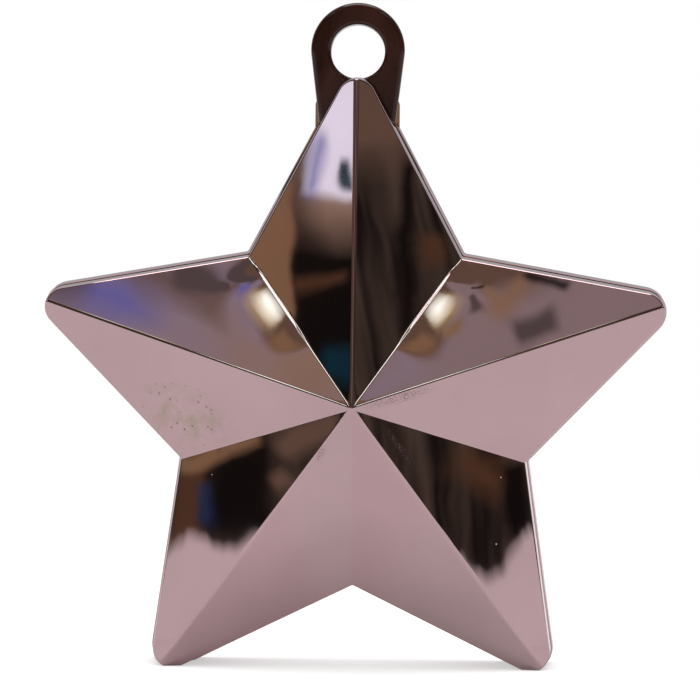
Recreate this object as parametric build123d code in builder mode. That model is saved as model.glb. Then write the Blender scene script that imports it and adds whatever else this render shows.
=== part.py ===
from build123d import *
import math
import os

os.makedirs("parts", exist_ok=True)

# Star outline, measured on its front rim (millimetres and degrees)
POINTS = 5
POINT_RADIUS = 64.8  # centre to a point, before the point is rounded
NOTCH_RADIUS = 33.8  # centre to the notch between two points
POINT_ROUND = 3.6
NOTCH_ROUND = 0.6
INNER_ROUND = 1.0  # least rounding of a point inside the shell
SIDE_DRAFT = 4.5  # the side wall widens towards the back by this angle

# Depths, from the back face towards the apex
COVER_DEPTH = 5.0  # back face to seam
SHELL_DEPTH = 8.0  # seam to front rim
ROOF_RISE = 16.5  # front rim to apex

# Front shell
SHELL_WALL = 2.2
BOSS_RADIUS = 3.4
BOSS_REACH = 36.0  # star centre to a boss
SOCKET_DEPTH = 6.0

# Back cover
BACK_WALL = 2.0
COVER_OVERHANG = 0.2  # how far the cover stands proud of the shell
BACK_EDGE_ROUND = 0.8
LIP_HEIGHT = 2.5
LIP_WALL = 1.2
LIP_FIT = 0.15
PEG_RADIUS = 1.5
PEG_FIT = 0.05
PEG_LENGTH = 5.0
PEG_LEAD = 0.4

# Standing feet, cut flat across the two lowest points
FOOT_FLAT_DEPTH = 0.4  # depth of the flat at the front rim

# Hanging loop
RING_BORE_RADIUS = 5.1
RING_RADIUS = 8.85
RING_RISE = 0.35  # bore's centre to the ring's centre, so the ring is thicker at the top
TIP_OVERLAP = 0.2  # how far the shell's top point stands across the bore
LOOP_LENGTH = 24.9  # ring's centre to the foot's lower edge
LOOP_THICKNESS = 4.8
LOOP_EDGE_ROUND = 0.9
BORE_EDGE_ROUND = 0.6
FOOT_HALF_WIDTH = 6.0
FOOT_END = 3.0  # straight stretch at the foot's lower end
FOOT_CORNER = 1.0
LOOP_FIT = 0.15
LOOP_PEG_SPREAD = 3.2
LOOP_PEG_RISE = 5.0  # foot's lower edge to the loop pegs

# Pad of the back cover that stands behind the loop's root
PAD_HALF_WIDTH = 8.0
PAD_DROP = 8.9  # ring's centre to the pad's upper edge
PAD_CORNER = 1.5

# Bulkhead between the loop's foot and the sand
BULKHEAD_WALL = 1.6

# Filling hole and plug
PORT_RADIUS = 5.0
PORT_COLLAR_WALL = 5.0
PLUG_HEAD_RADIUS = 7.2
PLUG_HEAD_THICKNESS = 1.5
PLUG_FIT = 0.1
PLUG_LEAD = 0.6
PRY_SLOT_LENGTH = 7.0
PRY_SLOT_WIDTH = 1.2
PRY_SLOT_DEPTH = 0.6

# Glue bead in the seam
GLUE_INSET = 1.2
GLUE_WIDTH = 0.6
GLUE_DEPTH = 0.5

# Sand
SAND_HEADROOM = 9.25  # sand's level to the bulkhead
SAND_GAP = 0.2

# Worked out from the sizes above; heights are above the star's centre
HALF_SECTOR = math.pi / POINTS
POINT_ANGLES = [math.pi / 2 + 2 * HALF_SECTOR * k for k in range(POINTS)]
POINT_HALF_ANGLE = math.atan2(
    NOTCH_RADIUS * math.sin(HALF_SECTOR), POINT_RADIUS - NOTCH_RADIUS * math.cos(HALF_SECTOR)
)
NOTCH_HALF_ANGLE = POINT_HALF_ANGLE + HALF_SECTOR
FACET_SLOPE = math.atan2(ROOF_RISE, POINT_RADIUS * math.sin(POINT_HALF_ANGLE))
DRAFT_RATE = math.tan(math.radians(SIDE_DRAFT))
RIM_DEPTH = COVER_DEPTH + SHELL_DEPTH
APEX_DEPTH = RIM_DEPTH + ROOF_RISE
BACK_Y = APEX_DEPTH / 2
LIP_INSET = SHELL_WALL + LIP_FIT
CHAMBER_INSET = LIP_INSET + LIP_WALL
LOWEST_POINT = max(-math.sin(angle) for angle in POINT_ANGLES)
POINT_ROUND_CENTRE = POINT_RADIUS - POINT_ROUND / math.sin(POINT_HALF_ANGLE)
CENTRE_HEIGHT = POINT_ROUND_CENTRE * LOWEST_POINT + POINT_ROUND - FOOT_FLAT_DEPTH
TIP_HEIGHT = POINT_ROUND_CENTRE + POINT_ROUND + SHELL_DEPTH * DRAFT_RATE
BORE_HEIGHT = TIP_HEIGHT - TIP_OVERLAP + RING_BORE_RADIUS
RING_HEIGHT = BORE_HEIGHT + RING_RISE
FOOT_HEIGHT = RING_HEIGHT - LOOP_LENGTH
PAD_TOP = RING_HEIGHT - PAD_DROP
BULKHEAD_TOP = FOOT_HEIGHT - LOOP_FIT
SAND_LEVEL = BULKHEAD_TOP - BULKHEAD_WALL - SAND_HEADROOM
LIP_ROOT = POINT_RADIUS + (SHELL_DEPTH * DRAFT_RATE - SHELL_WALL) / math.sin(POINT_HALF_ANGLE)
BULKHEAD_HALF_WIDTH = (LIP_ROOT - BULKHEAD_TOP) * math.tan(POINT_HALF_ANGLE)
BOSS_SPOTS = [(BOSS_REACH * math.cos(a), BOSS_REACH * math.sin(a)) for a in POINT_ANGLES[1:]]
LOOP_PEG_SPOTS = [(side * LOOP_PEG_SPREAD, FOOT_HEIGHT + LOOP_PEG_RISE) for side in (-1, 1)]
LOOP_BACK = COVER_DEPTH - LOOP_THICKNESS
FOOT_BACK = BACK_WALL + LOOP_FIT
COUNTERBORE_DEPTH = PLUG_HEAD_THICKNESS + PLUG_FIT


def star_plane(depth):
    """Plane across the star, a depth in front of the back face, seen from the front."""
    return Plane(origin=(0, BACK_Y - depth, CENTRE_HEIGHT), x_dir=(1, 0, 0), z_dir=(0, -1, 0))


def flare(depth):
    """How far the drafted side wall stands outside the front rim at a depth."""
    return (RIM_DEPTH - depth) * DRAFT_RATE


def star_corners(point_radius, notch_radius):
    """Corners of a sharp star with one point up."""
    corners = []
    for angle in POINT_ANGLES:
        notch = angle + HALF_SECTOR
        corners.append((point_radius * math.cos(angle), point_radius * math.sin(angle)))
        corners.append((notch_radius * math.cos(notch), notch_radius * math.sin(notch)))
    return corners


def star_outline(reach, mode=Mode.ADD):
    """Rounded star whose sides lie a reach outside the front rim's sides."""
    point_radius = POINT_RADIUS + reach / math.sin(POINT_HALF_ANGLE)
    notch_radius = NOTCH_RADIUS + reach / math.sin(NOTCH_HALF_ANGLE)
    with BuildSketch(mode=Mode.PRIVATE) as star:
        with BuildLine():
            Polyline(*star_corners(point_radius, notch_radius), close=True)
        make_face()
        points = star.vertices().sort_by_distance((0, 0, 0))[-POINTS:]
        fillet(points, max(POINT_ROUND + reach, INNER_ROUND))
        notches = star.vertices().sort_by_distance((0, 0, 0))[:POINTS]
        fillet(notches, max(NOTCH_ROUND, NOTCH_ROUND - reach))
    add(star.sketch, mode=mode)


def star_prism(back, front, reach, mode=Mode.ADD):
    """Drafted star between two depths, its sides a reach outside the shell's side wall."""
    ends = []
    for depth in (back, front):
        with BuildSketch(star_plane(depth)) as end:
            star_outline(flare(depth) + reach)
        ends.append(end.sketch.face())
    loft(ends, ruled=True, mode=mode)


def star_roof(back, drop):
    """Keep what lies under the ten facets, lowered by a drop and carried down to a depth."""
    apex = APEX_DEPTH - drop
    spread = (apex - back) / ROOF_RISE
    with BuildSketch(star_plane(back)) as base:
        with BuildLine():
            Polyline(*star_corners(POINT_RADIUS * spread, NOTCH_RADIUS * spread), close=True)
        make_face()
    summit = Vertex(0, BACK_Y - apex, CENTRE_HEIGHT)
    loft([base.sketch.face(), summit], ruled=True, mode=Mode.INTERSECT)


def posts(spots, radius, back, front, mode=Mode.ADD):
    """Round posts at the given spots, between two depths."""
    with BuildSketch(star_plane(back)) as ends:
        with Locations(*spots):
            Circle(radius)
    extrude(ends.sketch, amount=front - back, mode=mode)


def bulkhead(half_width, back, front, mode=Mode.ADD):
    """Wall across the top point, just under the loop's foot."""
    with BuildSketch(star_plane(back)) as section:
        with Locations((0, BULKHEAD_TOP)):
            Rectangle(2 * half_width, BULKHEAD_WALL, align=(Align.CENTER, Align.MAX))
    extrude(section.sketch, amount=front - back, mode=mode)


def loop_outline(grow=0):
    """The loop in front view, grown all round: a ring whose sides run straight down to the foot."""
    with BuildSketch(mode=Mode.PRIVATE) as outline:
        with Locations((0, RING_HEIGHT)):
            Circle(RING_RADIUS + grow)
        with Locations((0, FOOT_HEIGHT - grow)):
            RectangleRounded(
                2 * (FOOT_HALF_WIDTH + grow),
                FOOT_END,
                FOOT_CORNER,
                align=(Align.CENTER, Align.MIN),
            )
        make_hull()
    add(outline.sketch)


def loop_pocket():
    """Room for the loop in the cover's rim and lip."""
    with BuildSketch(star_plane(BACK_WALL)) as room:
        loop_outline(LOOP_FIT)
    extrude(room.sketch, amount=APEX_DEPTH, mode=Mode.SUBTRACT)


def stand_flat():
    """Cut the lowest points flat where they stand."""
    split(bisect_by=Plane.XY, keep=Keep.TOP)


# Hollow of the front shell, with its bosses and bulkhead left standing
with BuildPart() as shell_hollow:
    star_prism(BACK_WALL, APEX_DEPTH, -SHELL_WALL)
    star_roof(BACK_WALL, SHELL_WALL / math.cos(FACET_SLOPE))
    posts(BOSS_SPOTS, BOSS_RADIUS, BACK_WALL, APEX_DEPTH, Mode.SUBTRACT)
    bulkhead(POINT_RADIUS, BACK_WALL, APEX_DEPTH, Mode.SUBTRACT)

# Channel that lets the cover's lip pass the shell's bulkhead
with BuildPart() as lip_channel:
    star_prism(BACK_WALL, COVER_DEPTH + LIP_HEIGHT + LIP_FIT, -SHELL_WALL)
    star_prism(BACK_WALL, COVER_DEPTH + LIP_HEIGHT + LIP_FIT, -CHAMBER_INSET - LIP_FIT, Mode.SUBTRACT)

# Front shell: faceted star with a drafted side wall
with BuildPart() as front_shell:
    star_prism(COVER_DEPTH, APEX_DEPTH, 0)
    star_roof(COVER_DEPTH, 0)
    add(shell_hollow.part, mode=Mode.SUBTRACT)
    add(lip_channel.part, mode=Mode.SUBTRACT)
    posts(BOSS_SPOTS, PEG_RADIUS + PEG_FIT, COVER_DEPTH, COVER_DEPTH + SOCKET_DEPTH, Mode.SUBTRACT)
    stand_flat()

# Glue bead, laid in a groove of the cover's rim and broken at the loop
with BuildPart() as seam_glue:
    with BuildSketch(star_plane(COVER_DEPTH - GLUE_DEPTH)):
        star_outline(flare(COVER_DEPTH) - GLUE_INSET)
        star_outline(flare(COVER_DEPTH) - GLUE_INSET - GLUE_WIDTH, mode=Mode.SUBTRACT)
    extrude(amount=GLUE_DEPTH)
    loop_pocket()

# Back cover: shallow star tray with a lip, pegs, a filling hole and a seat for the loop
with BuildPart() as back_cover:
    star_prism(0, COVER_DEPTH, COVER_OVERHANG)
    with BuildSketch(star_plane(0)):
        with Locations((0, PAD_TOP)):
            RectangleRounded(
                2 * PAD_HALF_WIDTH,
                PAD_TOP - BULKHEAD_TOP,
                PAD_CORNER,
                align=(Align.CENTER, Align.MAX),
            )
    extrude(amount=BACK_WALL)
    split(bisect_by=Plane.XY.offset(CENTRE_HEIGHT + PAD_TOP), keep=Keep.BOTTOM)
    back_face = back_cover.faces().sort_by(Axis.Y)[-1]
    fillet(back_face.outer_wire().edges(), BACK_EDGE_ROUND)
    star_prism(COVER_DEPTH, COVER_DEPTH + LIP_HEIGHT, -LIP_INSET)
    star_prism(BACK_WALL, COVER_DEPTH + LIP_HEIGHT, -CHAMBER_INSET, Mode.SUBTRACT)
    bulkhead(BULKHEAD_HALF_WIDTH, BACK_WALL, COVER_DEPTH)
    posts(BOSS_SPOTS, BOSS_RADIUS, BACK_WALL, COVER_DEPTH)
    posts(BOSS_SPOTS, PEG_RADIUS, COVER_DEPTH, COVER_DEPTH + PEG_LENGTH)
    peg_ends = back_cover.edges().filter_by(GeomType.CIRCLE).group_by(Axis.Y)[0]
    chamfer(peg_ends, PEG_LEAD)
    loop_pocket()
    posts(LOOP_PEG_SPOTS, PEG_RADIUS, BACK_WALL, COVER_DEPTH - LOOP_FIT)
    posts([(0, 0)], PORT_RADIUS + PORT_COLLAR_WALL, BACK_WALL, COVER_DEPTH)
    posts([(0, 0)], PORT_RADIUS, 0, COVER_DEPTH, Mode.SUBTRACT)
    posts([(0, 0)], PLUG_HEAD_RADIUS + PLUG_FIT, 0, COUNTERBORE_DEPTH, Mode.SUBTRACT)
    add(seam_glue.part, mode=Mode.SUBTRACT)
    stand_flat()

# Hanging loop: thick ring, thin foot with two peg holes
with BuildPart() as hanging_loop:
    with BuildSketch(star_plane(LOOP_BACK)):
        loop_outline()
    extrude(amount=LOOP_THICKNESS)
    broad_faces = hanging_loop.faces().filter_by(Axis.Y)
    fillet(broad_faces.edges(), LOOP_EDGE_ROUND)
    posts([(0, BORE_HEIGHT)], RING_BORE_RADIUS, LOOP_BACK, COVER_DEPTH, Mode.SUBTRACT)
    bore_edges = hanging_loop.edges(Select.LAST).filter_by(GeomType.CIRCLE)
    fillet(bore_edges, BORE_EDGE_ROUND)
    with BuildSketch(star_plane(LOOP_BACK)):
        with Locations((0, PAD_TOP + LOOP_FIT)):
            Rectangle(2 * (RING_RADIUS + FOOT_HALF_WIDTH), LOOP_LENGTH, align=(Align.CENTER, Align.MAX))
    extrude(amount=FOOT_BACK - LOOP_BACK, mode=Mode.SUBTRACT)
    posts(LOOP_PEG_SPOTS, PEG_RADIUS + PEG_FIT, FOOT_BACK, COVER_DEPTH, Mode.SUBTRACT)

# Fill plug: flat head in its counterbore, stem in the filling hole, slot to pry it out
with BuildPart() as fill_plug:
    posts([(0, 0)], PLUG_HEAD_RADIUS, PLUG_FIT, COUNTERBORE_DEPTH)
    posts([(0, 0)], PORT_RADIUS - PEG_FIT, COUNTERBORE_DEPTH, COVER_DEPTH)
    stem_end = fill_plug.faces().sort_by(Axis.Y)[0]
    chamfer(stem_end.edges(), PLUG_LEAD)
    with BuildSketch(star_plane(PLUG_FIT)):
        SlotOverall(PRY_SLOT_LENGTH, PRY_SLOT_WIDTH)
    extrude(amount=PRY_SLOT_DEPTH, mode=Mode.SUBTRACT)

# Sand: fills the star up to its level, round the bosses and the filling collar
with BuildPart() as sand_fill:
    star_prism(BACK_WALL + SAND_GAP, APEX_DEPTH, -CHAMBER_INSET - SAND_GAP)
    star_roof(BACK_WALL + SAND_GAP, (SHELL_WALL + SAND_GAP) / math.cos(FACET_SLOPE))
    posts(BOSS_SPOTS, BOSS_RADIUS + SAND_GAP, 0, APEX_DEPTH, Mode.SUBTRACT)
    collar_radius = PORT_RADIUS + PORT_COLLAR_WALL + SAND_GAP
    posts([(0, 0)], collar_radius, 0, COVER_DEPTH + SAND_GAP, Mode.SUBTRACT)
    split(bisect_by=Plane.XY.offset(CENTRE_HEIGHT + SAND_LEVEL), keep=Keep.BOTTOM)

PIECES = {
    "front_shell": front_shell,
    "back_cover": back_cover,
    "hanging_loop": hanging_loop,
    "fill_plug": fill_plug,
    "sand_fill": sand_fill,
    "seam_glue": seam_glue,
}
for name, piece in PIECES.items():
    piece.part.label = name
    export_step(piece.part, f"parts/{name}.step")
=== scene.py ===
import math
import bpy
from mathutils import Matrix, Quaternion, Vector


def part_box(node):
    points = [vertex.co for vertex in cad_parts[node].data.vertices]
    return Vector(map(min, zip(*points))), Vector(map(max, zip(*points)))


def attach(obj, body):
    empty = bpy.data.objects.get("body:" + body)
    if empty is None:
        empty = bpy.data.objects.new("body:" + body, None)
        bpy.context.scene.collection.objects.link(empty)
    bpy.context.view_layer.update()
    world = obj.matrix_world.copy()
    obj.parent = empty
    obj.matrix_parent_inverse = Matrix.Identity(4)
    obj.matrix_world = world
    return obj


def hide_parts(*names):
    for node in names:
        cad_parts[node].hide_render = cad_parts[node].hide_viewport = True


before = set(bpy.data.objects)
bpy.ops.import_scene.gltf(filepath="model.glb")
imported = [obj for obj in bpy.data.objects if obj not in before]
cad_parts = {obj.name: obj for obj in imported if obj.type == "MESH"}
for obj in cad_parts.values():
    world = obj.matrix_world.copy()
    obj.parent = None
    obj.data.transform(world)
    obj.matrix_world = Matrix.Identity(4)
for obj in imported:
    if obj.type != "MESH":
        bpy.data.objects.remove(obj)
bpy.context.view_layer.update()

MM = 0.001

# Star, as in the part
POINTS = 5
POINT_RADIUS = 64.8 * MM
NOTCH_RADIUS = 33.8 * MM
POINT_ROUND = 3.6 * MM
NOTCH_ROUND = 0.6 * MM
ROOF_RISE = 16.5 * MM
SIDE_DRAFT = math.radians(4.5)
SHELL_WALL = 2.2 * MM
HALF_SECTOR = math.pi / POINTS

# Places read from the frame
SHELL_LOW, SHELL_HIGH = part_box("front_shell")
SEAM_Y = SHELL_HIGH.y
RIM_Y = SHELL_LOW.y + ROOF_RISE
PLUG_LOW, PLUG_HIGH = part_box("fill_plug")
STAR_CENTRE_Z = (PLUG_LOW.z + PLUG_HIGH.z) / 2

# Rounding of the plated star's edges
RIDGE_ROUND = 0.18 * MM
VALLEY_ROUND = 0.10 * MM
RIM_ROUND = 0.35 * MM

# Shallow swells that the mould leaves in the side arms, beside the two upper valleys
SWELL_ANGLE = math.pi / 2 - HALF_SECTOR
SWELL_REACH = 24.0 * MM
SWELL_LENGTH = 8.0 * MM
SWELL_WIDTH = 13.0 * MM
SWELL_SLOPE = 0.058
SWELL_EDGE = 0.3 * MM
SWELL_FULL_Y = RIM_Y - ROOF_RISE / 8

# Camera
CAMERA_PLACE = Vector((0.0130, -0.59825, 0.07941))
CAMERA_AIM = Vector((-0.00071, 0.0, 0.05960))
CAMERA_ROLL = math.radians(0.564)
CAMERA_LENS = 165.39


class Rule:
    """A value in a node tree, so that a rule reads as a formula."""

    def __init__(self, tree, socket):
        self.tree = tree
        self.socket = socket

    def apply(self, operation, *others):
        made = self.tree.nodes.new("ShaderNodeMath")
        made.operation = operation
        for slot, value in zip(made.inputs, (self, *others)):
            if isinstance(value, Rule):
                self.tree.links.new(value.socket, slot)
            else:
                slot.default_value = value
        return Rule(self.tree, made.outputs[0])

    def __add__(self, other):
        return self.apply("ADD", other)

    def __sub__(self, other):
        return self.apply("SUBTRACT", other)

    def __mul__(self, other):
        return self.apply("MULTIPLY", other)

    def __truediv__(self, other):
        return self.apply("DIVIDE", other)

    def __pow__(self, other):
        return self.apply("POWER", other)

    def sine(self):
        return self.apply("SINE")

    def cosine(self):
        return self.apply("COSINE")

    def size(self):
        return self.apply("ABSOLUTE")

    def least(self, other):
        return self.apply("MAXIMUM", other)

    def most(self, other):
        return self.apply("MINIMUM", other)

    def root(self):
        return self.apply("SQRT")

    def share(self, start, end):
        """0 before start, 1 after end, in step between."""
        span = start * -1.0 + end
        return ((self - start) / span).least(0.0).most(1.0)

    def towards(self, goal, share):
        return self + (goal - self) * share


def new_tree(name, sizes):
    """A geometry node tree whose inputs are the named sizes."""
    tree = bpy.data.node_groups.new(name, "GeometryNodeTree")
    tree.interface.new_socket("Geometry", in_out="OUTPUT", socket_type="NodeSocketGeometry")
    start = tree.nodes.new("NodeGroupInput")
    for size, value in sizes.items():
        socket = tree.interface.new_socket(size, in_out="INPUT", socket_type="NodeSocketFloat")
        socket.default_value = value
    return tree, {size: Rule(tree, start.outputs[size]) for size in sizes}


def node(tree, kind, **inputs):
    """A node with its inputs linked or set, by socket name with _ for a blank."""
    made = tree.nodes.new(kind)
    for name, value in inputs.items():
        slot = made.inputs[name.replace("_", " ")]
        if isinstance(value, Rule):
            value = value.socket
        if isinstance(value, bpy.types.NodeSocket):
            tree.links.new(value, slot)
        else:
            slot.default_value = value
    return made


def grown_piece(name, tree, sizes, material):
    """Run a geometry node tree and keep its result as a plain mesh."""
    host = bpy.data.objects.new(name, bpy.data.meshes.new(name))
    bpy.context.scene.collection.objects.link(host)
    modifier = host.modifiers.new("rule", "NODES")
    modifier.node_group = tree
    for socket in tree.interface.items_tree:
        if socket.in_out == "INPUT":
            modifier[socket.identifier] = sizes[socket.name]
    grown = host.evaluated_get(bpy.context.evaluated_depsgraph_get())
    mesh = bpy.data.meshes.new_from_object(grown)
    host.modifiers.remove(modifier)
    host.data = mesh
    mesh.name = name
    mesh.materials.clear()
    mesh.materials.append(material)
    return host


# Steps of one arm's grid, and the gap across which the arms are joined
TIP_STEPS = 16
SIDE_STEPS = 40
NOTCH_STEPS = 4
ROOF_RINGS = 48
LAST_RING = 0.003
ROOF_END = 0.9999
RIM_RINGS = 8
WALL_RINGS = 4
INNER_WALL_RINGS = 2
INNER_ROOF_RINGS = 6
WELD_GAP = 0.001 * MM


def star_front_tree(sizes, material):
    """Front of the star: one arm laid out by rule, turned round the centre."""
    tree, size = new_tree("star_front_rule", sizes)
    point, notch = size["Point Radius"], size["Notch Radius"]
    point_round, notch_round = size["Point Round"], size["Notch Round"]
    rise, draft, wall = size["Roof Rise"], size["Draft Rate"], size["Wall"]
    depth = size["Wall Depth"]
    valley_x, valley_y = math.cos(HALF_SECTOR), math.sin(HALF_SECTOR)

    point_angle = (notch * valley_y).apply("ARCTAN2", point - notch * valley_x)
    side_angle = point_angle * -1.0 + math.pi / 2
    notch_angle = point_angle + HALF_SECTOR
    edge_reach = point * point_angle.sine()
    slope = rise / edge_reach
    valley_slope = slope * notch_angle.cosine()
    tip_centre = point - point_round / point_angle.sine()

    half_steps = TIP_STEPS + SIDE_STEPS + NOTCH_STEPS
    rings = ROOF_RINGS + RIM_RINGS + WALL_RINGS + 1 + INNER_WALL_RINGS + INNER_ROOF_RINGS
    grid = node(tree, "GeometryNodeMeshGrid", Vertices_X=2 * half_steps + 1, Vertices_Y=rings + 1)
    layout = node(tree, "ShaderNodeSeparateXYZ", Vector=grid.outputs["UV Map"])
    across = (Rule(tree, layout.outputs["X"]) - 0.5) * (2.0 * half_steps)
    ring = Rule(tree, layout.outputs["Y"]) * rings
    side = across.apply("SIGN")
    step = across.size()

    on_tip = step.share(0.0, TIP_STEPS) ** 1.5
    on_side = step.share(TIP_STEPS, TIP_STEPS + SIDE_STEPS)
    on_side = on_side * on_side * (on_side * -2.0 + 3.0)
    on_notch = step.share(TIP_STEPS + SIDE_STEPS, half_steps)

    on_most = ring.share(0.0, ROOF_RINGS - 1) * (1.0 - LAST_RING)
    on_roof = on_most + ring.share(ROOF_RINGS - 1, ROOF_RINGS) * LAST_RING
    edge = ROOF_RINGS
    on_rim = ring.share(edge, edge + RIM_RINGS)
    edge += RIM_RINGS
    on_wall = ring.share(edge, edge + WALL_RINGS)
    edge += WALL_RINGS
    on_flange = ring.share(edge, edge + 1)
    edge += 1
    on_inner_wall = ring.share(edge, edge + INNER_WALL_RINGS)
    edge += INNER_WALL_RINGS
    on_inner_roof = ring.share(edge, edge + INNER_ROOF_RINGS)

    facing = side_angle * on_tip - (side_angle - HALF_SECTOR) * on_notch
    facing_x, facing_y = facing.cosine(), facing.sine()
    edge_x, edge_y = side_angle.cosine(), side_angle.sine()
    past_side = on_notch.apply("GREATER_THAN", 0.0)

    def outline(reach):
        """A point of the outline, a reach outside the front rim."""
        notch_centre = notch + (notch_round + reach) / notch_angle.sine()
        tip_round = point_round + reach
        tip = side_angle * on_tip
        tip_x = tip_centre + tip_round * tip.cosine()
        tip_y = tip_round * tip.sine()
        start_x = tip_centre + tip_round * edge_x
        start_y = tip_round * edge_y
        end_x = notch_centre * valley_x - notch_round * edge_x
        end_y = notch_centre * valley_y - notch_round * edge_y
        turned_x = notch_round * (edge_x - facing_x) * past_side
        turned_y = notch_round * (edge_y - facing_y) * past_side
        x = tip_x + (end_x - start_x) * on_side + turned_x
        y = tip_y + (end_y - start_y) * on_side + turned_y
        return x, y

    def sharp_roof(x, y):
        return rise - slope * (x * edge_x + y * edge_y)

    def roof(x, y):
        """Height of the facets, with the ridge and the valleys rounded."""
        ridge, crease = size["Ridge Round"], size["Valley Round"]
        off_valley = (x * valley_y - y * valley_x).least(0.0)
        near_ridge = (ridge * 2.0 - y).least(0.0)
        near_valley = (crease * 2.0 - off_valley).least(0.0)
        rounded = y + near_ridge * near_ridge / (ridge * 4.0)
        fill = near_valley * near_valley / (crease * 4.0)
        return sharp_roof(x, rounded) + valley_slope * fill

    rim_round = size["Rim Round"]
    fall = (slope * (side_angle - facing).cosine()).apply("ARCTANGENT")
    upright = draft.apply("ARCTANGENT") * -1.0 + math.pi / 2
    tangent = rim_round * ((upright - fall) * 0.5).apply("TANGENT")
    crease_x, crease_y = outline(0.0)
    crease_height = sharp_roof(crease_x, crease_y)
    start_reach = (tangent * fall.cosine() + crease_height * draft) * -1.0
    turn = fall.towards(upright, on_rim)
    reach = start_reach + rim_round * (turn.sine() - fall.sine())
    reach = reach.towards(depth * draft, on_wall) - wall * on_flange
    reach = reach.towards(wall * -1.0, on_inner_wall)
    scale = on_roof * (on_inner_roof * -1.0 + 1.0)
    x, y = outline(reach)
    x, y = x * scale, y * scale
    height = roof(x, y)
    start_x, start_y = outline(start_reach)
    rim_height = roof(start_x, start_y) + rim_round * (turn.cosine() - fall.cosine())
    height = height.towards(rim_height, on_roof.apply("GREATER_THAN", ROOF_END))
    height = height.towards(depth * -1.0, on_wall)
    drop = wall * (slope * slope + 1.0).root()
    height = height.towards(sharp_roof(x, y) - drop, on_inner_wall)

    place = node(tree, "ShaderNodeCombineXYZ", X=y * side, Y=height * -1.0, Z=x)
    arm = node(tree, "GeometryNodeSetPosition", Geometry=grid.outputs["Mesh"], Position=place.outputs[0])
    spots = node(tree, "GeometryNodePoints", Count=POINTS)
    index = Rule(tree, tree.nodes.new("GeometryNodeInputIndex").outputs[0])
    turned = node(tree, "ShaderNodeCombineXYZ", Y=index * (2 * HALF_SECTOR))
    arms = node(
        tree,
        "GeometryNodeInstanceOnPoints",
        Points=spots.outputs[0],
        Instance=arm.outputs[0],
        Rotation=turned.outputs[0],
    )
    star = node(tree, "GeometryNodeRealizeInstances", Geometry=arms.outputs[0])
    star = node(tree, "GeometryNodeMergeByDistance", Geometry=star.outputs[0], Distance=WELD_GAP)
    star = node(
        tree, "GeometryNodeTransform", Geometry=star.outputs[0], Translation=(0.0, RIM_Y, STAR_CENTRE_Z)
    )
    where = node(tree, "ShaderNodeSeparateXYZ", Vector=tree.nodes.new("GeometryNodeInputPosition").outputs[0])
    x, y, z = (Rule(tree, where.outputs[axis]) for axis in "XYZ")
    right, up = x.size(), z - STAR_CENTRE_Z
    along = right * math.cos(SWELL_ANGLE) + up * math.sin(SWELL_ANGLE)
    along = (along - size["Swell Reach"]) / size["Swell Length"]
    aside = right * math.sin(SWELL_ANGLE) - up * math.cos(SWELL_ANGLE)
    fade = aside.least(0.0).share(size["Swell Width"], 0.0) ** 3.0
    swell = fade * size["Swell Slope"] * size["Swell Width"] / 3.0
    swell = swell * (along ** 4.0 * -1.0).apply("EXPONENT")
    swell = swell * aside.share(SWELL_EDGE * -1.0, 0.0) * y.share(RIM_Y, SWELL_FULL_Y)
    standing = node(tree, "ShaderNodeCombineXYZ", X=x, Y=y - swell, Z=z.least(0.0))
    star = node(tree, "GeometryNodeSetPosition", Geometry=star.outputs[0], Position=standing.outputs[0])
    star = node(tree, "GeometryNodeSetShadeSmooth", Geometry=star.outputs[0])
    star = node(tree, "GeometryNodeSetMaterial", Geometry=star.outputs[0], Material=material)
    end = tree.nodes.new("NodeGroupOutput")
    tree.links.new(star.outputs[0], end.inputs[0])
    return tree


def star_front(material):
    sizes = {
        "Point Radius": POINT_RADIUS,
        "Notch Radius": NOTCH_RADIUS,
        "Point Round": POINT_ROUND,
        "Notch Round": NOTCH_ROUND,
        "Roof Rise": ROOF_RISE,
        "Draft Rate": math.tan(SIDE_DRAFT),
        "Wall": SHELL_WALL,
        "Wall Depth": SEAM_Y - RIM_Y,
        "Ridge Round": RIDGE_ROUND,
        "Valley Round": VALLEY_ROUND,
        "Rim Round": RIM_ROUND,
        "Swell Reach": SWELL_REACH,
        "Swell Length": SWELL_LENGTH,
        "Swell Width": SWELL_WIDTH,
        "Swell Slope": SWELL_SLOPE,
    }
    tree = star_front_tree(sizes, material)
    return grown_piece("star_front", tree, sizes, material)


def blend(tree, share, low, high):
    """A colour that goes from low to high with the share."""
    mixer = tree.nodes.new("ShaderNodeMix")
    mixer.data_type = "RGBA"
    for slot, value in ((mixer.inputs[0], share), (mixer.inputs[6], low), (mixer.inputs[7], high)):
        if isinstance(value, Rule):
            value = value.socket
        if isinstance(value, bpy.types.NodeSocket):
            tree.links.new(value, slot)
        else:
            slot.default_value = value if slot is mixer.inputs[0] else (*value, 1.0)
    return mixer.outputs[2]


def new_material(name, colour, metallic, roughness):
    """A principled material, its even values set on the shader."""
    material = bpy.data.materials.new(name)
    material.use_nodes = True
    tree = material.node_tree
    shader = tree.nodes["Principled BSDF"]
    shader.inputs["Base Color"].default_value = (*colour, 1.0)
    shader.inputs["Metallic"].default_value = metallic
    shader.inputs["Roughness"].default_value = roughness
    place = tree.nodes.new("ShaderNodeTexCoord").outputs["Object"]
    return material, tree, shader, place


def noise(tree, place, scale, detail=2.0, stretch=None):
    """Soft noise from 0 to 1, stretched along the object's axes."""
    if stretch:
        turned = tree.nodes.new("ShaderNodeMapping")
        turned.inputs["Scale"].default_value = stretch
        tree.links.new(place, turned.inputs["Vector"])
        place = turned.outputs[0]
    made = node(tree, "ShaderNodeTexNoise", Vector=place, Scale=scale, Detail=detail)
    return Rule(tree, made.outputs[0])


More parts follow.
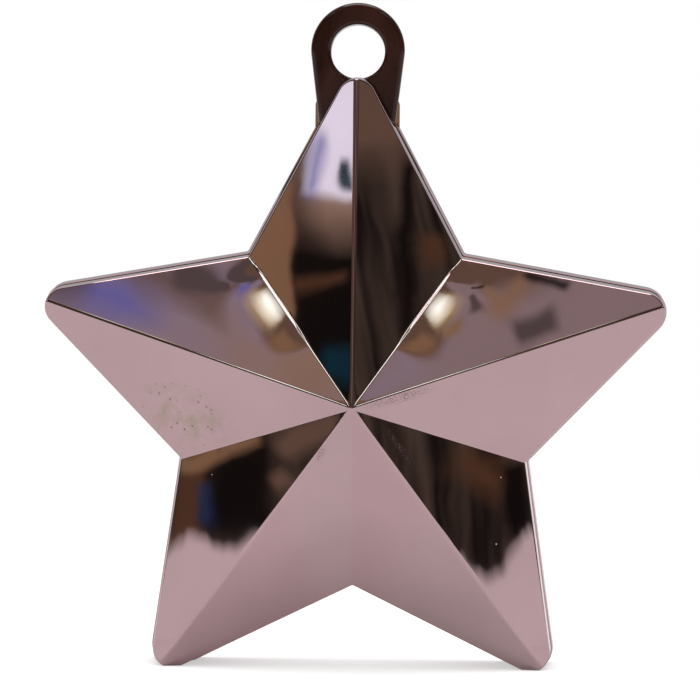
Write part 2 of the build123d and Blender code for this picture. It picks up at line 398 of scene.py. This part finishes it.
def specks(tree, place, scale, radius, kept):
    """Small round specks, in the kept share of the cells."""
    cells = node(tree, "ShaderNodeTexVoronoi", Vector=place, Scale=scale)
    pick = node(tree, "ShaderNodeSeparateColor", Color=cells.outputs["Color"])
    spot = Rule(tree, cells.outputs["Distance"]).share(radius, radius * 0.6)
    return spot * Rule(tree, pick.outputs[0]).apply("LESS_THAN", kept)


def bumped(tree, shader, height, distance):
    relief = node(tree, "ShaderNodeBump", Height=height, Distance=distance)
    tree.links.new(relief.outputs[0], shader.inputs["Normal"])


def link(tree, value, slot):
    tree.links.new(value.socket if isinstance(value, Rule) else value, slot)


# Rubbed spots on the plating: x and z of the middle, half length, half width (mm), lean (degrees)
SCUFFS = [
    (8.9, 51.5, 7.5, 1.3, 16.0),
    (8.6, 42.5, 6.0, 0.8, -55.0),
    (-5.6, 41.0, 2.0, 0.9, 58.0),
]
STAIN = (-31.0, 47.0, 11.5, 6.5, -28.0)
PLATING = (0.47, 0.322, 0.338)
PLATING_DULL = (0.45, 0.308, 0.324)
PLATING_BRIGHT = (0.485, 0.332, 0.348)
PLATING_GRAIN = (0.40, 0.28, 0.29)
STAIN_COLOUR = (0.36, 0.29, 0.21)
WORN_COLOUR = (0.06, 0.045, 0.035)
DUST_COLOUR = (0.62, 0.58, 0.55)


def rubbed(tree, place, spot):
    """1 in the middle of a spot on the front, 0 outside it."""
    x, z, length, width, lean = spot
    part = node(tree, "ShaderNodeSeparateXYZ", Vector=place)
    right = Rule(tree, part.outputs["X"]) / MM - x
    up = Rule(tree, part.outputs["Z"]) / MM - z
    turn = math.radians(lean)
    along = (right * math.cos(turn) + up * math.sin(turn)) / length
    aside = (up * math.cos(turn) - right * math.sin(turn)) / width
    front = Rule(tree, part.outputs["Y"]).share(SEAM_Y, RIM_Y)
    return (along * along + aside * aside).root().share(1.0, 0.3) * front


def rose_plating():
    """Vacuum plating on moulded plastic: a mirror with faint waves, dust, rubbed spots and a stain."""
    material, tree, shader, place = new_material("rose_plating", PLATING, 1.0, 0.02)
    waves = noise(tree, place, 70.0, 1.0)
    grain = noise(tree, place, 2600.0, 3.0)
    haze = noise(tree, place, 55.0, 4.0)
    dust = specks(tree, place, 150.0, 0.028, 0.35) * 0.8
    scuff = rubbed(tree, place, SCUFFS[0])
    for spot in SCUFFS[1:]:
        scuff = scuff.least(rubbed(tree, place, spot))
    scuff = scuff * noise(tree, place, 6000.0, 2.0, (1.0, 1.0, 0.5)).share(0.46, 0.66)
    stained = rubbed(tree, place, STAIN)
    stain = stained * noise(tree, place, 330.0, 6.0).share(0.42, 0.68)
    flecks = stained * specks(tree, place, 760.0, 0.24, 0.6)
    tint = blend(tree, haze.share(0.35, 0.65), PLATING_DULL, PLATING_BRIGHT)
    tint = blend(tree, grain.share(0.3, 0.7) * 0.12, tint, PLATING_GRAIN)
    tint = blend(tree, stain * 0.6, tint, STAIN_COLOUR)
    tint = blend(tree, (scuff * 0.7).least(flecks * 0.7), tint, WORN_COLOUR)
    tint = blend(tree, dust, tint, DUST_COLOUR)
    link(tree, tint, shader.inputs["Base Color"])
    link(tree, (dust + stain * 0.3) * -1.0 + 1.0, shader.inputs["Metallic"])
    rough = haze.share(0.3, 0.8) * 0.012 + 0.012 + dust * 0.6 + (scuff + stain) * 0.2
    link(tree, rough, shader.inputs["Roughness"])
    bumped(tree, shader, waves + grain * 0.003, 0.012 * MM)
    return material


LOOP_BROWN = (0.022, 0.0045, 0.0028)
PLUG_BROWN = (0.016, 0.009, 0.007)
PLASTIC_SPECULAR = 0.3


def brown_plastic(name, colour, roughness):
    """Glossy moulded plastic with faint flow marks and rubbed gloss."""
    material, tree, shader, place = new_material(name, colour, 0.0, roughness)
    shader.inputs["Specular IOR Level"].default_value = PLASTIC_SPECULAR
    flow = noise(tree, place, 220.0, 3.0, (1.0, 1.0, 0.35))
    grain = noise(tree, place, 1800.0, 3.0)
    dust = specks(tree, place, 260.0, 0.03, 0.3)
    light = tuple(c * 1.8 for c in colour)
    dark = tuple(c * 0.7 for c in colour)
    tint = blend(tree, flow.share(0.3, 0.7), dark, light)
    tint = blend(tree, dust * 0.7, tint, (0.30, 0.25, 0.22))
    link(tree, tint, shader.inputs["Base Color"])
    link(tree, flow.share(0.3, 0.75) * 0.14 + (roughness - 0.07) + dust * 0.4, shader.inputs["Roughness"])
    bumped(tree, shader, flow + grain * 0.08, 0.05 * MM)
    return material


def dry_sand():
    material, tree, shader, place = new_material("dry_sand", (0.46, 0.35, 0.22), 0.0, 0.95)
    cells = node(tree, "ShaderNodeTexVoronoi", Vector=place, Scale=1500.0)
    pick = node(tree, "ShaderNodeSeparateColor", Color=cells.outputs["Color"])
    tint = blend(tree, pick.outputs[0], (0.30, 0.21, 0.12), (0.62, 0.50, 0.34))
    link(tree, tint, shader.inputs["Base Color"])
    bumped(tree, shader, Rule(tree, cells.outputs["Distance"]) * -1.0, 0.5 * MM)
    return material


def set_glue():
    material, tree, shader, place = new_material("set_glue", (0.55, 0.42, 0.22), 0.0, 0.3)
    cloud = noise(tree, place, 300.0, 3.0)
    link(tree, blend(tree, cloud, (0.48, 0.34, 0.15), (0.66, 0.54, 0.34)), shader.inputs["Base Color"])
    bumped(tree, shader, cloud, 0.1 * MM)
    return material


plating = rose_plating()
front = star_front(plating)
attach(front, "root")
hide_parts("front_shell")
for name, finish in {
    "back_cover": plating,
    "hanging_loop": brown_plastic("loop_plastic", LOOP_BROWN, 0.17),
    "fill_plug": brown_plastic("plug_plastic", PLUG_BROWN, 0.34),
    "sand_fill": dry_sand(),
    "seam_glue": set_glue(),
}.items():
    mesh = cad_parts[name].data
    mesh.materials.clear()
    mesh.materials.append(finish)

camera_data = bpy.data.cameras.new("camera")
camera_data.lens = CAMERA_LENS
camera = bpy.data.objects.new("camera", camera_data)
camera.location = CAMERA_PLACE
aim = (CAMERA_AIM - CAMERA_PLACE).to_track_quat("-Z", "Y")
camera.rotation_mode = "QUATERNION"
camera.rotation_quaternion = aim @ Quaternion((0, 0, 1), CAMERA_ROLL)
bpy.context.scene.collection.objects.link(camera)
bpy.context.scene.camera = camera

# Lights of the studio's softboxes and cards
WHITE = (0.96, 0.96, 0.96)
WARM_WHITE = (3.0, 4.2, 3.7)
GOLD = (1.1, 1.05, 0.5)
SKY = (1.55, 1.95, 2.2)
VIOLET = (0.22, 0.28, 0.85)
BLUE = (0.03, 0.07, 0.18)
TEAL = (0.01, 0.06, 0.09)
LILAC = (0.45, 0.44, 0.52)
PEARL = (0.44, 0.41, 0.41)
SAND = (0.48, 0.40, 0.29)
HONEY = (0.44, 0.33, 0.19)
TAN = (0.39, 0.28, 0.15)
BROWN = (0.22, 0.17, 0.12)
RUST = (0.14, 0.085, 0.045)
GREY = (0.15, 0.14, 0.14)
BLACK = (0.012, 0.011, 0.010)

# Studio: softboxes, cards and flags round the star. Each stand has its place in degrees, right of the
# front and above the floor, and its reach. Each card on it has its place right and up, half width, half
# height, lean and soft edge in degrees, and its light.
STUDIO = {
    "high on the left": ((-55.9, 22.7), 5.0, [
        (0.6, -0.9, 1.4, 2.2, 13, 0.2, BLACK),
        (0.6, 1.2, 1.0, 0.8, 13, 0.5, SAND),
        (-0.8, -0.2, 0.45, 1.5, 13, 0.05, TAN),
        (0.0, 2.1, 0.6, 1.15, 10, 0.1, SKY),
        (-0.3, 1.35, 0.1, 0.5, 8, 0.16, VIOLET),
        (0.4, 1.35, 0.16, 0.2, 10, 0.06, TEAL),
        (0.3, -0.6, 0.5, 0.1, 20, 0.1, RUST),
        (1.0, -2.0, 0.3, 0.25, 13, 0.12, TEAL),
    ]),
    "high on the right": ((53.1, 23.3), 5.0, [
        (0.1, 2.4, 0.8, 0.9, -10, 0.4, BROWN),
        (0.2, -0.4, 0.12, 1.8, -12, 0.1, BLACK),
        (0.7, -0.2, 0.2, 0.3, -10, 0.15, RUST),
    ]),
    "overhead on the left": ((-20.8, 53.7), 6.5, [
        (0.0, 0.0, 9.0, 9.0, 0, 0.5, BROWN),
        (0.0, 0.1, 3.6, 1.3, 0, 0.3, LILAC),
        (1.6, 0.0, 1.4, 1.2, -20, 0.7, SAND),
        (-1.9, -0.05, 0.8, 0.3, -6, 0.4, VIOLET),
        (-2.9, 0.0, 0.4, 0.3, 0, 0.3, GREY),
        (-0.6, 0.35, 1.2, 0.2, -14, 0.3, BROWN),
        (-2.2, 1.5, 1.8, 1.0, 20, 0.2, GREY),
        (-0.5, 0.65, 0.4, 0.25, 10, 0.1, GREY),
        (1.4, -2.3, 1.2, 0.9, 0, 0.4, TAN),
        (-1.5, -1.9, 0.9, 0.7, 47, 0.6, GOLD),
        (-1.8, -2.3, 0.8, 0.35, 47, 0.6, WARM_WHITE),
    ]),
    "overhead on the right": ((16.6, 54.2), 6.5, [
        (0.0, 0.0, 9.0, 9.0, 0, 0.5, BROWN),
        (0.0, 0.1, 3.6, 1.3, 0, 0.3, PEARL),
        (-0.2, 1.0, 1.2, 0.5, 0, 0.25, BROWN),
        (0.25, -1.0, 0.2, 0.35, 0, 0.12, HONEY),
        (0.4, 0.3, 0.45, 0.12, 45, 0.12, HONEY),
        (0.8, -0.15, 0.42, 0.2, 12, 0.1, GREY),
        (1.15, 0.55, 0.45, 0.08, -20, 0.06, BLACK),
        (-1.9, -0.7, 0.7, 0.25, 18, 0.3, LILAC),
        (2.2, 1.6, 1.8, 1.0, -20, 0.25, BROWN),
        (-1.4, -2.4, 1.2, 0.9, 0, 0.4, TAN),
        (1.5, -1.9, 0.8, 0.5, -47, 0.6, GOLD),
        (1.8, -2.3, 0.7, 0.25, -47, 0.55, WARM_WHITE),
    ]),
    "beside the left valley": ((-37.0, 40.0), 7.0, [(0, 0, 5.0, 4.5, 0, 1.0, WARM_WHITE)]),
    "beside the right valley": ((34.0, 40.0), 7.0, [(0, 0, 5.0, 4.5, 0, 1.0, WARM_WHITE)]),
    "over the left ridge": ((-21.0, 41.0), 8.0, [(0, 0, 1.0, 6.0, 0, 0.4, WARM_WHITE)]),
    "over the right ridge": ((17.6, 41.0), 8.0, [(0, 0, 1.0, 6.0, 0, 0.4, WARM_WHITE)]),
    "round the camera": ((0.0, 3.5), 4.0, [(0, 0, 2.5, 2.0, 0, 0.5, TAN)]),
    "above the camera": ((0.0, 29.0), 9.0, [(0, 0, 6.0, 5.0, 0, 1.0, SAND)]),
    "low on the left": ((-59.8, 2.0), 3.5, [
        (0.1, 0.2, 0.6, 1.0, 0, 0.25, BLACK),
        (-0.8, -0.3, 0.3, 0.9, 7, 0.1, RUST),
        (-0.4, 0.8, 0.8, 0.2, 24, 0.1, TAN),
        (-0.45, -0.2, 0.12, 0.4, 20, 0.12, BLUE),
        (1.2, 1.2, 0.6, 0.22, 37, 0.12, BROWN),
        (0.75, 0.3, 0.2, 0.12, 46, 0.08, BROWN),
    ]),
    "low on the right": ((57.3, 2.2), 3.5, [
        (0.4, 0.4, 0.6, 0.3, -32, 0.25, RUST),
        (0.9, -0.3, 0.25, 0.9, 6, 0.12, BLACK),
    ]),
}
# Floor's far edge, as the plating mirrors it: its lift, softness and fraying in degrees
SWEEP_LIFT = 1.15
SWEEP_SOFT = 0.15
SWEEP_FRAY = 2.8

# Light on matt surfaces, and the room that the plating mirrors round the stands
SOFT_LIGHT = 0.6
STREAK_DARK = (0.013, 0.012, 0.011)
STREAK_LIGHT = (0.13, 0.115, 0.085)
ROOM_DARK = (0.02, 0.017, 0.015)
ROOM_LIGHT = (0.28, 0.22, 0.18)
ROOM_BEHIND = (0.40, 0.39, 0.41)

# Unevenness of the cards' edges, in degrees
FINE_WOBBLE = 0.2
BROAD_WOBBLE = 0.5


def pointing(tree, way, x, y, z):
    """How far a way points along a fixed one."""
    turned = tree.nodes.new("ShaderNodeVectorMath")
    turned.operation = "DOT_PRODUCT"
    turned.inputs[1].default_value = (x, y, z)
    tree.links.new(way, turned.inputs[0])
    return Rule(tree, turned.outputs["Value"])


def either(tree, share, first, second):
    mixer = tree.nodes.new("ShaderNodeMixShader")
    for slot, value in zip(mixer.inputs, (share.socket, first.outputs[0], second.outputs[0])):
        tree.links.new(value, slot)
    return mixer


def card_share(tree, spot, card):
    """1 on a card, 0 beside it, soft at its edge."""
    x, y, half_x, half_y, lean, soft = card
    seat = tree.nodes.new("ShaderNodeMapping")
    seat.vector_type = "TEXTURE"
    seat.inputs["Location"].default_value = (x, y, 0.0)
    seat.inputs["Rotation"].default_value = (0.0, 0.0, math.radians(lean))
    seat.inputs["Scale"].default_value = (half_x, half_y, 1.0)
    tree.links.new(spot, seat.inputs["Vector"])
    away = tree.nodes.new("ShaderNodeVectorMath")
    away.operation = "ABSOLUTE"
    tree.links.new(seat.outputs[0], away.inputs[0])
    part = node(tree, "ShaderNodeSeparateXYZ", Vector=away.outputs[0])
    across, rise = Rule(tree, part.outputs["X"]), Rule(tree, part.outputs["Y"])
    edge_x, edge_y = soft / half_x, soft / half_y
    return across.share(1.0 + edge_x, 1.0 - edge_x) * rise.share(1.0 + edge_y, 1.0 - edge_y)


def studio_world():
    """White to the camera, soft light on matt pieces, and a dim studio that only the plating mirrors."""
    world = bpy.data.worlds.new("studio")
    world.use_nodes = True
    tree = world.node_tree
    plain = tree.nodes["Background"]
    path = tree.nodes.new("ShaderNodeLightPath")
    direct = Rule(tree, path.outputs["Is Camera Ray"]) + Rule(tree, path.outputs["Is Transmission Ray"])
    link(tree, direct.most(1.0) * (1.0 - SOFT_LIGHT) + SOFT_LIGHT, plain.inputs["Color"])
    way = tree.nodes.new("ShaderNodeTexCoord").outputs["Generated"]
    part = node(tree, "ShaderNodeSeparateXYZ", Vector=way)
    x, y, z = (Rule(tree, part.outputs[axis]) for axis in "XYZ")
    turn = x.apply("ARCTAN2", y * -1.0) * math.degrees(1.0)
    lift = z.apply("ARCSINE") * math.degrees(1.0)
    spread = node(tree, "ShaderNodeCombineXYZ", X=turn, Y=lift * 0.06)
    streaks = noise(tree, spread.outputs[0], 3.0, 2.5)
    ripple = node(tree, "ShaderNodeTexNoise", Vector=way, Scale=110.0, Detail=2.0)
    wobble = node(tree, "ShaderNodeSeparateColor", Color=ripple.outputs["Color"])
    bend = node(tree, "ShaderNodeTexNoise", Vector=way, Scale=40.0, Detail=1.0)
    bend = node(tree, "ShaderNodeSeparateColor", Color=bend.outputs["Color"])
    shifts = []
    for k in (0, 1):
        fine = (Rule(tree, wobble.outputs[k]) - 0.5) * FINE_WOBBLE
        broad = (Rule(tree, bend.outputs[k]) - 0.5) * BROAD_WOBBLE
        shifts.append(fine + broad)
    shift_x, shift_y = shifts
    dark = blend(tree, streaks.share(0.36, 0.66), STREAK_DARK, STREAK_LIGHT)
    frayed = noise(tree, spread.outputs[0], 1.0, 4.0)
    ragged = lift + (frayed - 0.5) * SWEEP_FRAY
    sweep = ragged.share(SWEEP_LIFT + SWEEP_SOFT, SWEEP_LIFT - SWEEP_SOFT)
    behind = blend(tree, lift.share(5.0, 50.0), ROOM_BEHIND, WHITE)
    patches = noise(tree, way, 9.0, 2.0)
    dim = blend(tree, patches.share(0.38, 0.66), ROOM_DARK, ROOM_LIGHT)
    round_about = blend(tree, y.share(-0.1, 0.15), dim, behind)
    studio = node(tree, "ShaderNodeBackground", Color=blend(tree, sweep, round_about, WHITE))
    for (side, height), reach, cards in STUDIO.values():
        a, b = math.radians(side), math.radians(height)
        ahead = pointing(tree, way, math.sin(a) * math.cos(b), -math.cos(a) * math.cos(b), math.sin(b))
        right = pointing(tree, way, math.cos(a), math.sin(a), 0.0) * math.degrees(1.0) + shift_x
        up = pointing(tree, way, -math.sin(a) * math.sin(b), math.cos(a) * math.sin(b), math.cos(b))
        up = up * math.degrees(1.0) + shift_y
        spot = node(tree, "ShaderNodeCombineXYZ", X=right, Y=up)
        light = dark
        for *card, colour in cards:
            light = blend(tree, card_share(tree, spot.outputs[0], card), light, colour)
        light = blend(tree, sweep, light, WHITE)
        group = node(tree, "ShaderNodeBackground", Color=light)
        near = ahead.apply("GREATER_THAN", math.cos(math.radians(reach)))
        studio = either(tree, near, studio, group)
    whole = either(tree, Rule(tree, path.outputs["Is Glossy Ray"]), plain, studio)
    tree.links.new(whole.outputs[0], tree.nodes["World Output"].inputs["Surface"])
    return world


FLOOR_RADIUS = 0.5
FLOOR_DROP = 0.02 * MM
FLOOR_SHADE = (0.80, 0.80, 0.80, 1.0)
FLOOR_GLOW = 0.5
MIRRORED_GLOW = 0.1
# Painted reflection: tints of the floor's glow as the plating mirrors it, pinker left of the middle and
# greener right of it, and how far from the star they reach
LEFT_PAINTED_REFLECTION = (0.97, 0.78, 0.84)
RIGHT_PAINTED_REFLECTION = (1.06, 1.22, 1.18)
GLOW_BORDER = 4.0 * MM
GLOW_FULL = 30.0 * MM
GLOW_END = 50.0 * MM


def pale_floor():
    """Pale floor that shows white, keeps a soft shadow and glows a little in the plating, with a painted
    reflection tint near the star.
    """
    material = bpy.data.materials.new("pale_floor")
    material.use_nodes = True
    tree = material.node_tree
    shader = tree.nodes["Principled BSDF"]
    shader.inputs["Base Color"].default_value = FLOOR_SHADE
    shader.inputs["Roughness"].default_value = 0.9
    path = tree.nodes.new("ShaderNodeLightPath")
    direct = Rule(tree, path.outputs["Is Camera Ray"]) + Rule(tree, path.outputs["Is Transmission Ray"])
    mirrored = Rule(tree, path.outputs["Is Glossy Ray"])
    link(tree, direct * FLOOR_GLOW + mirrored * MIRRORED_GLOW, shader.inputs["Emission Strength"])
    place = tree.nodes.new("ShaderNodeTexCoord").outputs["Object"]
    part = node(tree, "ShaderNodeSeparateXYZ", Vector=place)
    right = Rule(tree, part.outputs["X"])
    # painted reflection tint, seen only in the plating and only near the star
    glow = blend(tree, right.share(-GLOW_BORDER, GLOW_BORDER), LEFT_PAINTED_REFLECTION, RIGHT_PAINTED_REFLECTION)
    near = right.size().share(GLOW_END, GLOW_FULL) * mirrored
    link(tree, blend(tree, near, (1.0, 1.0, 1.0), glow), shader.inputs["Emission Color"])
    bpy.ops.mesh.primitive_circle_add(
        vertices=96, radius=FLOOR_RADIUS, fill_type="NGON", location=(0.0, 0.0, -FLOOR_DROP)
    )
    floor = bpy.context.object
    floor.name = "floor"
    floor.data.materials.append(material)


SOFTBOX_SIZE = 0.8
SOFTBOX_POWER = 9.8
SOFTBOX_PLACE = (0.0, -0.15, 1.3)


def overhead_softbox():
    lamp = bpy.data.lights.new("overhead_softbox", "AREA")
    lamp.shape = "SQUARE"
    lamp.size = SOFTBOX_SIZE
    lamp.energy = SOFTBOX_POWER
    host = bpy.data.objects.new("overhead_softbox", lamp)
    host.location = SOFTBOX_PLACE
    bpy.context.scene.collection.objects.link(host)


bpy.context.scene.world = studio_world()
pale_floor()
overhead_softbox()
bpy.context.scene.view_settings.view_transform = "Standard"
